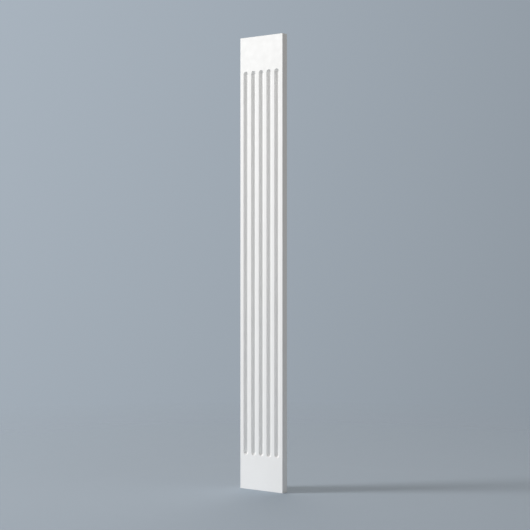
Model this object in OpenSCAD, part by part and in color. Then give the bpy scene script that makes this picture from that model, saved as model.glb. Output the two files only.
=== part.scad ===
// Fluted pilaster, moulded in one piece and fixed flat against a wall.
// Millimetres. +Z is up and the front faces -Y. The origin is at the centre of the flat back,
// so the back lies in the plane Y = 0 and +Y points into the wall.

/* [Board] */
// Height of the pilaster from foot to head
board_height = 2000; // [1800:10:2400]
// Width of the pilaster across its front
board_width = 236; // [224:2:300]
// Thickness from the flat back to the front face
board_thickness = 32; // [24:1:48]
// Radius of the four long and short arrises around the front face
arris_radius = 1.5; // [0.5:0.1:3]

/* [Flutes] */
// Number of flutes side by side
flute_count = 5; // [3:1:5]
// Width of each flute at the front face
flute_width = 26; // [23:1:30]
// Depth of each flute at its middle
flute_depth = 11.5; // [6:0.5:11.5]
// Distance between the centre lines of neighbouring flutes
flute_pitch = 43; // [34:1:46]
// Height of the plain block left at the foot and at the head
plain_height = 151; // [80:1:300]

/* [Hidden] */
$fn = 96;

front_y = -board_thickness;
flute_length = board_height - 2 * plain_height;
// Radius of the arc that is flute_width across and flute_depth deep
flute_radius = (pow(flute_width / 2, 2) + pow(flute_depth, 2)) / (2 * flute_depth);

// Plan section of the board: square at the back, with rounded arrises at the front.
module board_section() {
    arris_x = board_width / 2 - arris_radius;
    translate([-board_width / 2, front_y + arris_radius])
        square([board_width, board_thickness - arris_radius]);
    translate([-arris_x, front_y])
        square([2 * arris_x, board_thickness]);
    for (side = [-1, 1])
        translate([side * arris_x, front_y + arris_radius])
            circle(r = arris_radius);
}

// What stays outside the rounded arris across the front of the head or foot.
// Drawn for an edge along X, with the solid above and behind it.
module arris_waste() {
    overrun = 1;
    rotate([90, 0, 90])
        linear_extrude(height = board_width + 2 * overrun, center = true)
            difference() {
                translate([-overrun, -overrun])
                    square(arris_radius + overrun);
                translate([arris_radius, arris_radius])
                    circle(r = arris_radius);
            }
}

// One flute: a round bar with ball ends, sunk into the front to flute_depth. Its ends show as
// half circles of flute_width on the front face.
module flute_cutter() {
    straight_length = flute_length - flute_width;
    translate([0, front_y + flute_depth - flute_radius, 0]) {
        cylinder(r = flute_radius, h = straight_length, center = true);
        for (end = [-1, 1])
            translate([0, 0, end * straight_length / 2])
                sphere(r = flute_radius);
    }
}

// The whole pilaster is one moulding: board, softened arrises and flutes.
module pilaster() {
    color("white")
        difference() {
            linear_extrude(height = board_height, center = true)
                board_section();
            for (end = [0, 1])
                mirror([0, 0, end])
                    translate([0, front_y, -board_height / 2])
                        arris_waste();
            for (i = [0 : flute_count - 1])
                translate([(i - (flute_count - 1) / 2) * flute_pitch, 0, 0])
                    flute_cutter();
        }
}

pilaster();
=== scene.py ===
import math

import bpy
from mathutils import Matrix, Vector


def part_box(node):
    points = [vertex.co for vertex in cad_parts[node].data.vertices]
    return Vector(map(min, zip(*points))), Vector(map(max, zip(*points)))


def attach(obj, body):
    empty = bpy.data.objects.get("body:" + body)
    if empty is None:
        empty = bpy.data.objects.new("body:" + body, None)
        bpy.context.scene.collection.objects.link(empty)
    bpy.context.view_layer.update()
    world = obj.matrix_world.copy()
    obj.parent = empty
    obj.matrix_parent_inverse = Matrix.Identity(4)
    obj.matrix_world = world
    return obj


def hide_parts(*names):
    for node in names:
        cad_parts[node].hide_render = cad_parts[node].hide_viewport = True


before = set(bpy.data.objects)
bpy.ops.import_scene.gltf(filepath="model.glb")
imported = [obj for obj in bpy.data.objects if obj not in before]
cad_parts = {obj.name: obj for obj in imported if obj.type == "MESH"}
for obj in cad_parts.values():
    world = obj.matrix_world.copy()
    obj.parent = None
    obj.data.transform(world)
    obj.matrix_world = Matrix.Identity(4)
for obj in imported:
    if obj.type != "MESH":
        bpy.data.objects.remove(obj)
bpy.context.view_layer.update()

# ------------------------------------------------------------------ the moulding
# The whole pilaster is one casting of dense rigid foam, poured in a mould whose ribs form
# the flutes. It comes out with slightly soft arrises, is trimmed square at both ends and
# planed flat at the back, and is then glued over its whole back to a wall.
low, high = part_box("pilaster")
board_size = high - low
front_y = low.y

flute_count = 5
flute_width = 0.026
flute_depth = 0.0115
flute_pitch = 0.043
plain_height = 0.151

flute_half = flute_width / 2
flute_lines = [(i - (flute_count - 1) / 2) * flute_pitch for i in range(flute_count)]
spine_foot = low.z + plain_height + flute_half
spine_head = high.z - plain_height - flute_half

# Points closer together than this count as one.
hair = 0.0001


def take_up(piece):
    """Makes piece the only thing that the next operators act on."""
    bpy.ops.object.select_all(action="DESELECT")
    piece.select_set(True)
    bpy.context.view_layer.objects.active = piece


def pick_parts(piece, kind, wanted):
    """Opens piece in edit mode with only those corners, edges or faces selected that are wanted."""
    take_up(piece)
    bpy.ops.object.mode_set(mode="EDIT")
    bpy.ops.mesh.select_mode(type=kind)
    bpy.ops.mesh.select_all(action="DESELECT")
    bpy.ops.object.mode_set(mode="OBJECT")
    corners = piece.data.vertices
    if kind == "VERT":
        for corner in corners:
            corner.select = wanted([corner.co])
    else:
        for part in piece.data.edges if kind == "EDGE" else piece.data.polygons:
            part.select = wanted([corners[i].co for i in part.vertices])
    bpy.ops.object.mode_set(mode="EDIT")


def apply_modifier(piece, kind, **settings):
    """Gives piece one modifier with these settings and applies it."""
    take_up(piece)
    step = piece.modifiers.new(kind.lower(), kind)
    for setting, value in settings.items():
        setattr(step, setting, value)
    bpy.ops.object.modifier_apply(modifier=step.name)


# The square board, ruled from head to foot along each flute's centre line and once across each
# plain block, so that every face of the front stays a simple one once the flutes are cut.
bpy.ops.object.select_all(action="DESELECT")
bpy.ops.mesh.primitive_cube_add(size=1, location=(high + low) / 2, scale=board_size)
moulding = bpy.context.object
moulding.name = "pilaster_moulding"
bpy.ops.object.transform_apply(location=True, rotation=True, scale=True)
bpy.ops.object.mode_set(mode="EDIT")
block_ruling = 0.9 * plain_height
rulings = [((x, 0, 0), (1, 0, 0)) for x in flute_lines]
rulings += [((0, 0, z), (0, 0, 1)) for z in (low.z + block_ruling, high.z - block_ruling)]
for point, normal in rulings:
    bpy.ops.mesh.select_all(action="SELECT")
    bpy.ops.mesh.bisect(plane_co=point, plane_no=normal)
bpy.ops.object.mode_set(mode="OBJECT")

# The mould's rib that forms one flute: a ball whose upper half is drawn up into a bar with
# round ends. The ball is turned by half a step first, so that none of its corners lies level
# with its centre, and only its shallow front sinks into the board.
ball_segments = 64
ball_rings = 25
half_step = math.pi / ball_segments
ball_radius = (flute_half**2 + flute_depth**2) / (2 * flute_depth)
ball_y = front_y + flute_depth - ball_radius
bpy.ops.object.select_all(action="DESELECT")
bpy.ops.mesh.primitive_uv_sphere_add(
    segments=ball_segments, ring_count=ball_rings, radius=ball_radius,
    location=(0, ball_y, spine_foot), rotation=(math.pi / 2, half_step, 0))
mould_rib = bpy.context.object
bpy.ops.object.transform_apply(location=True, rotation=True, scale=True)
pick_parts(mould_rib, "VERT", lambda corners: corners[0].z > spine_foot)
bpy.ops.transform.translate(value=(0, 0, spine_head - spine_foot))
bpy.ops.object.mode_set(mode="OBJECT")

# Each flute is cut by its own copy of the rib.
for x in flute_lines:
    rib = mould_rib.copy()
    rib.data = mould_rib.data.copy()
    rib.data.transform(Matrix.Translation((x, 0, 0)))
    bpy.context.scene.collection.objects.link(rib)
    apply_modifier(moulding, "BOOLEAN", operation="DIFFERENCE", solver="EXACT", object=rib)
    bpy.data.objects.remove(rib)
bpy.data.objects.remove(mould_rib)


def on_front(corners):
    return all(abs(corner.y - front_y) < hair for corner in corners)


def on_rim(corners):
    """The board's outline in front view: both corners lie on the same side, head or foot."""
    limits = ((0, low.x), (0, high.x), (2, low.z), (2, high.z))
    return any(all(abs(corner[axis] - limit) < hair for corner in corners) for axis, limit in limits)


def from_spine(corner):
    """How far a corner lies from the middle line of the nearest flute, drawn on the front."""
    z = min(max(corner.z, spine_foot), spine_head)
    return min((corner - Vector((x, front_y, z))).length for x in flute_lines)


def on_lip(corners):
    return all(abs(from_spine(corner) - flute_half) < hair for corner in corners)


def on_trimmed_edge(corners):
    """The square edges left by the saw and the planer: round the back, and from back to front."""
    at_back = all(abs(corner.y - high.y) < hair for corner in corners)
    back_to_front = abs(corners[0].y - corners[1].y) > board_size.y / 2
    at_end = all(abs(abs(corner.z) - high.z) < hair for corner in corners)
    at_side = all(abs(abs(corner.x) - high.x) < hair for corner in corners)
    return (at_back and on_rim(corners)) or (back_to_front and at_end and at_side)


# The arrises round the front, the lips of the flutes and the trimmed edges are softened
# together, each to its own width.
outer_arris = 0.0015
flute_lip = 0.0008
trimmed_edge = 0.0004
arris_steps = 4
softened = (
    (outer_arris, lambda corners: on_front(corners) and on_rim(corners)),
    (flute_lip, lambda corners: on_front(corners) and on_lip(corners)),
    (trimmed_edge, on_trimmed_edge),
)
for edge_width, wanted in softened:
    pick_parts(moulding, "EDGE", wanted)
    bpy.ops.transform.edge_bevelweight(value=edge_width / outer_arris)
    bpy.ops.object.mode_set(mode="OBJECT")
apply_modifier(
    moulding, "BEVEL", width=outer_arris, segments=arris_steps, limit_method="WEIGHT",
    offset_type="OFFSET", use_clamp_overlap=False)

pick_parts(moulding, "FACE", lambda corners: True)
bpy.ops.mesh.remove_doubles(threshold=hair / 10)
bpy.ops.mesh.normals_make_consistent(inside=False)
bpy.ops.object.mode_set(mode="OBJECT")
bpy.ops.object.shade_smooth()
apply_modifier(moulding, "WEIGHTED_NORMAL", mode="FACE_AREA", weight=100, keep_sharp=True)

# ------------------------------------------------------------------ the moulding's primer
# White water-based primer, sprayed at the works over front, sides and ends. It dries to a soft
# sheen with a fine stipple, and the overspray fades out on the planed back, where the cream
# foam with its fine pores and the planer's long marks stays bare.


def axes_of(tree, coordinates):
    """The X, Y and Z of the shaded point or, in the room, of the direction that is looked in."""
    place = tree.nodes.new("ShaderNodeTexCoord")
    split = tree.nodes.new("ShaderNodeSeparateXYZ")
    tree.links.new(place.outputs[coordinates], split.inputs["Vector"])
    return split.outputs


def noise(tree, scale, detail, stretch=(1, 1, 1), roughness=0.5):
    """Fractal noise on the piece's own coordinates, in patches of about 1/scale metres."""
    place = tree.nodes.new("ShaderNodeTexCoord")
    spread = tree.nodes.new("ShaderNodeMapping")
    spread.inputs["Scale"].default_value = stretch
    grain = tree.nodes.new("ShaderNodeTexNoise")
    grain.inputs["Scale"].default_value = scale
    grain.inputs["Detail"].default_value = detail
    grain.inputs["Roughness"].default_value = roughness
    tree.links.new(place.outputs["Object"], spread.inputs["Vector"])
    tree.links.new(spread.outputs["Vector"], grain.inputs["Vector"])
    return grain.outputs["Fac"]


def ramp(tree, source, start, end, start_value, end_value):
    """Maps source from start..end to start_value..end_value, held at both ends."""
    node = tree.nodes.new("ShaderNodeMapRange")
    node.inputs["From Min"].default_value = start
    node.inputs["From Max"].default_value = end
    node.inputs["To Min"].default_value = start_value
    node.inputs["To Max"].default_value = end_value
    tree.links.new(source, node.inputs["Value"])
    return node.outputs["Result"]


def patches(tree, scale, detail, lowest, highest):
    """Soft even patches that run from lowest to highest."""
    return ramp(tree, noise(tree, scale, detail), 0.3, 0.7, lowest, highest)


def combine(tree, operation, first, second):
    """Works one operation on two values, each a number or a socket."""
    node = tree.nodes.new("ShaderNodeMath")
    node.operation = operation
    for socket, value in zip(node.inputs, (first, second)):
        if isinstance(value, (int, float)):
            socket.default_value = value
        else:
            tree.links.new(value, socket)
    return node.outputs["Value"]


def blend_colours(tree, share, first, second):
    """Goes from the first colour to the second as share goes from 0 to 1."""
    node = tree.nodes.new("ShaderNodeMix")
    node.data_type = "RGBA"
    tree.links.new(share, node.inputs["Factor"])
    for socket, value in ((node.inputs["A"], first), (node.inputs["B"], second)):
        if isinstance(value, tuple):
            socket.default_value = (*value, 1)
        else:
            tree.links.new(value, socket)
    return node.outputs["Result"]


primer = bpy.data.materials.new("white_primer_on_foam")
primer.use_nodes = True
coat = primer.node_tree
coat_shader = coat.nodes["Principled BSDF"]

# The overspray thins out over the last millimetres of the sides, along a ragged line, and
# leaves little of itself on the back. The bare share is 0 where it covers and 1 past its end.
thinnest_margin = 0.0006
widest_margin = 0.0022
cover_ends = -0.0004
bare_begins = 0.0012
bare_margin = patches(coat, 90, 3, thinnest_margin, widest_margin)
from_back = combine(coat, "SUBTRACT", high.y, axes_of(coat, "Object")["Y"])
bare = ramp(coat, combine(coat, "SUBTRACT", bare_margin, from_back), cover_ends, bare_begins, 0, 1)

white_shade = (0.885, 0.885, 0.880)
white_light = (0.905, 0.905, 0.900)
foam_shade = (0.815, 0.788, 0.712)
foam_light = (0.855, 0.832, 0.765)
primer_colour = blend_colours(coat, patches(coat, 9, 4, 0, 1), white_shade, white_light)
foam_streaks = ramp(coat, noise(coat, 28, 5, stretch=(1, 1, 0.2)), 0.35, 0.65, 0, 1)
foam_colour = blend_colours(coat, foam_streaks, foam_shade, foam_light)
coat.links.new(blend_colours(coat, bare, primer_colour, foam_colour), coat_shader.inputs["Base Color"])

# Bare foam is duller than the primer.
foam_dullness = 0.3
primer_roughness = patches(coat, 35, 3, 0.46, 0.56)
added_roughness = combine(coat, "MULTIPLY", bare, foam_dullness)
coat.links.new(combine(coat, "ADD", primer_roughness, added_roughness), coat_shader.inputs["Roughness"])
coat_shader.inputs["Specular IOR Level"].default_value = 0.45

# Heights and depths of the surface's fine relief.
stipple_height = 0.00003
flow_height = 0.00012
planer_height = 0.0002
pore_depth = 0.0001
stipple = combine(coat, "MULTIPLY", noise(coat, 900, 3, roughness=0.6), stipple_height)
flow = combine(coat, "MULTIPLY", noise(coat, 45, 2), flow_height)
planer_marks = combine(coat, "MULTIPLY", noise(coat, 260, 4, stretch=(1, 1, 0.02)), planer_height)
pores = combine(coat, "MULTIPLY", ramp(coat, noise(coat, 1400, 1), 0.30, 0.42, -1, 0), pore_depth)
painted_skin = combine(coat, "ADD", stipple, flow)
bare_skin = combine(coat, "MULTIPLY", combine(coat, "ADD", planer_marks, pores), bare)
relief = coat.nodes.new("ShaderNodeBump")
relief.inputs["Distance"].default_value = 1
relief.inputs["Strength"].default_value = 1
coat.links.new(combine(coat, "ADD", painted_skin, bare_skin), relief.inputs["Height"])
coat.links.new(relief.outputs["Normal"], coat_shader.inputs["Normal"])

moulding.data.materials.append(primer)
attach(moulding, "root")
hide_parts("pilaster")

# ------------------------------------------------------------------ the studio
# A plain pale blue-grey floor under the foot, which fades out all round into a plain backdrop
# of the same tone.
floor_reach = 4.0
floor_solid = 0.8
floor_colour = (0.404, 0.466, 0.534)
bpy.ops.object.select_all(action="DESELECT")
bpy.ops.mesh.primitive_circle_add(
    vertices=96, radius=floor_reach, fill_type="NGON", location=(0, 0, low.z))
floor = bpy.context.object
floor.name = "studio_floor"
bpy.ops.object.transform_apply(location=True, rotation=True, scale=True)


def blend_surfaces(tree, share, first, second, output):
    """Goes from the first surface to the second as share goes from 0 to 1."""
    node = tree.nodes.new("ShaderNodeMixShader")
    for socket, value in zip(node.inputs, (share, first, second)):
        tree.links.new(value, socket)
    tree.links.new(node.outputs["Shader"], tree.nodes[output].inputs["Surface"])


floor_paint = bpy.data.materials.new("pale_studio_floor")
floor_paint.use_nodes = True
paint = floor_paint.node_tree
paint_shader = paint.nodes["Principled BSDF"]
paint_shader.inputs["Base Color"].default_value = (*floor_colour, 1)
paint_shader.inputs["Roughness"].default_value = 0.9
paint_shader.inputs["Specular IOR Level"].default_value = 0.1
floor_axes = axes_of(paint, "Object")
squares = [combine(paint, "MULTIPLY", floor_axes[axis], floor_axes[axis]) for axis in "XY"]
from_foot = combine(paint, "POWER", combine(paint, "ADD", *squares), 0.5)
thin_air = paint.nodes.new("ShaderNodeBsdfTransparent")
blend_surfaces(
    paint, ramp(paint, from_foot, floor_solid, floor_reach, 0, 1),
    paint_shader.outputs["BSDF"], thin_air.outputs["BSDF"], "Material Output")
floor.data.materials.append(floor_paint)

# The backdrop is seen in its own blue-grey, with painted light on it: a little paler to the left
# and higher up, where the lamp's light would fall on a wall. What lights the piece is a plain pale
# room, brighter in front, with a bright opening behind it on the left that shows up the back.
backdrop_colour = (0.330, 0.378, 0.430)
room_tint = (1, 0.985, 0.965)
glow_in_front = 0.50
glow_behind = 0.20
glow_of_opening = 3.4
studio = bpy.data.worlds.new("studio_room")
bpy.context.scene.world = studio
studio.use_nodes = True
room = studio.node_tree
towards = axes_of(room, "Generated")
room_light = room.nodes["Background"]
room_light.inputs["Color"].default_value = (*room_tint, 1)
front_to_back = ramp(room, towards["Y"], -1, 1, glow_in_front, glow_behind)
opening_behind = ramp(room, towards["Y"], 0, 1, 0, 1)
opening_on_left = ramp(room, towards["X"], -1, 0, glow_of_opening, 0)
opening = combine(room, "MULTIPLY", opening_behind, opening_on_left)
room.links.new(combine(room, "ADD", front_to_back, opening), room_light.inputs["Strength"])
backdrop = room.nodes.new("ShaderNodeBackground")
backdrop.inputs["Color"].default_value = (*backdrop_colour, 1)
# Painted light: the backdrop's tone is raised to the left and higher up, as the lamp would light a
# wall.
painted_light_to_left = ramp(room, towards["X"], -0.75, -0.45, 1.13, 0.85)
painted_light_above = ramp(room, towards["Z"], -0.2, 0.2, 0.94, 1.07)
room.links.new(combine(room, "MULTIPLY", painted_light_to_left, painted_light_above), backdrop.inputs["Strength"])
seen_directly = room.nodes.new("ShaderNodeLightPath").outputs["Is Camera Ray"]
blend_surfaces(
    room, seen_directly, room_light.outputs["Background"], backdrop.outputs["Background"],
    "World Output")

# One large soft lamp stands far off to the left of the front, above the head.
lamp_turn = math.radians(46)
lamp_range = 11
lamp_height = 3.7
lamp = bpy.data.lights.new("soft_key_lamp", "AREA")
lamp.shape = "DISK"
lamp.size = 3.75
lamp.energy = 985
lamp_stand = bpy.data.objects.new("soft_key_lamp", lamp)
bpy.context.scene.collection.objects.link(lamp_stand)
lamp_stand.location = (
    -lamp_range * math.sin(lamp_turn), -lamp_range * math.cos(lamp_turn), lamp_height)
lamp_stand.rotation_euler = (-lamp_stand.location).to_track_quat("-Z", "Y").to_euler()

# The camera stands level at mid height, three heights away and 38 degrees to the right of
# square on, with the piece in the middle of the picture.
camera_turn = math.radians(38)
camera_range = 3.0152 * board_size.z
camera_offset = 0.03805 * board_size.z
camera_height = low.z + 0.4962 * board_size.z
heading = Vector((-math.sin(camera_turn), math.cos(camera_turn), 0))
rightward = Vector((math.cos(camera_turn), math.sin(camera_turn), 0))
near_arris = Vector((high.x, front_y, camera_height))
camera = bpy.data.cameras.new("camera")
camera.lens = 94.3
camera.sensor_width = 36
camera_stand = bpy.data.objects.new("camera", camera)
bpy.context.scene.collection.objects.link(camera_stand)
camera_stand.location = near_arris - camera_range * heading - camera_offset * rightward
camera_stand.rotation_euler = heading.to_track_quat("-Z", "Y").to_euler()
bpy.context.scene.camera = camera_stand
bpy.context.scene.view_settings.view_transform = "Standard"
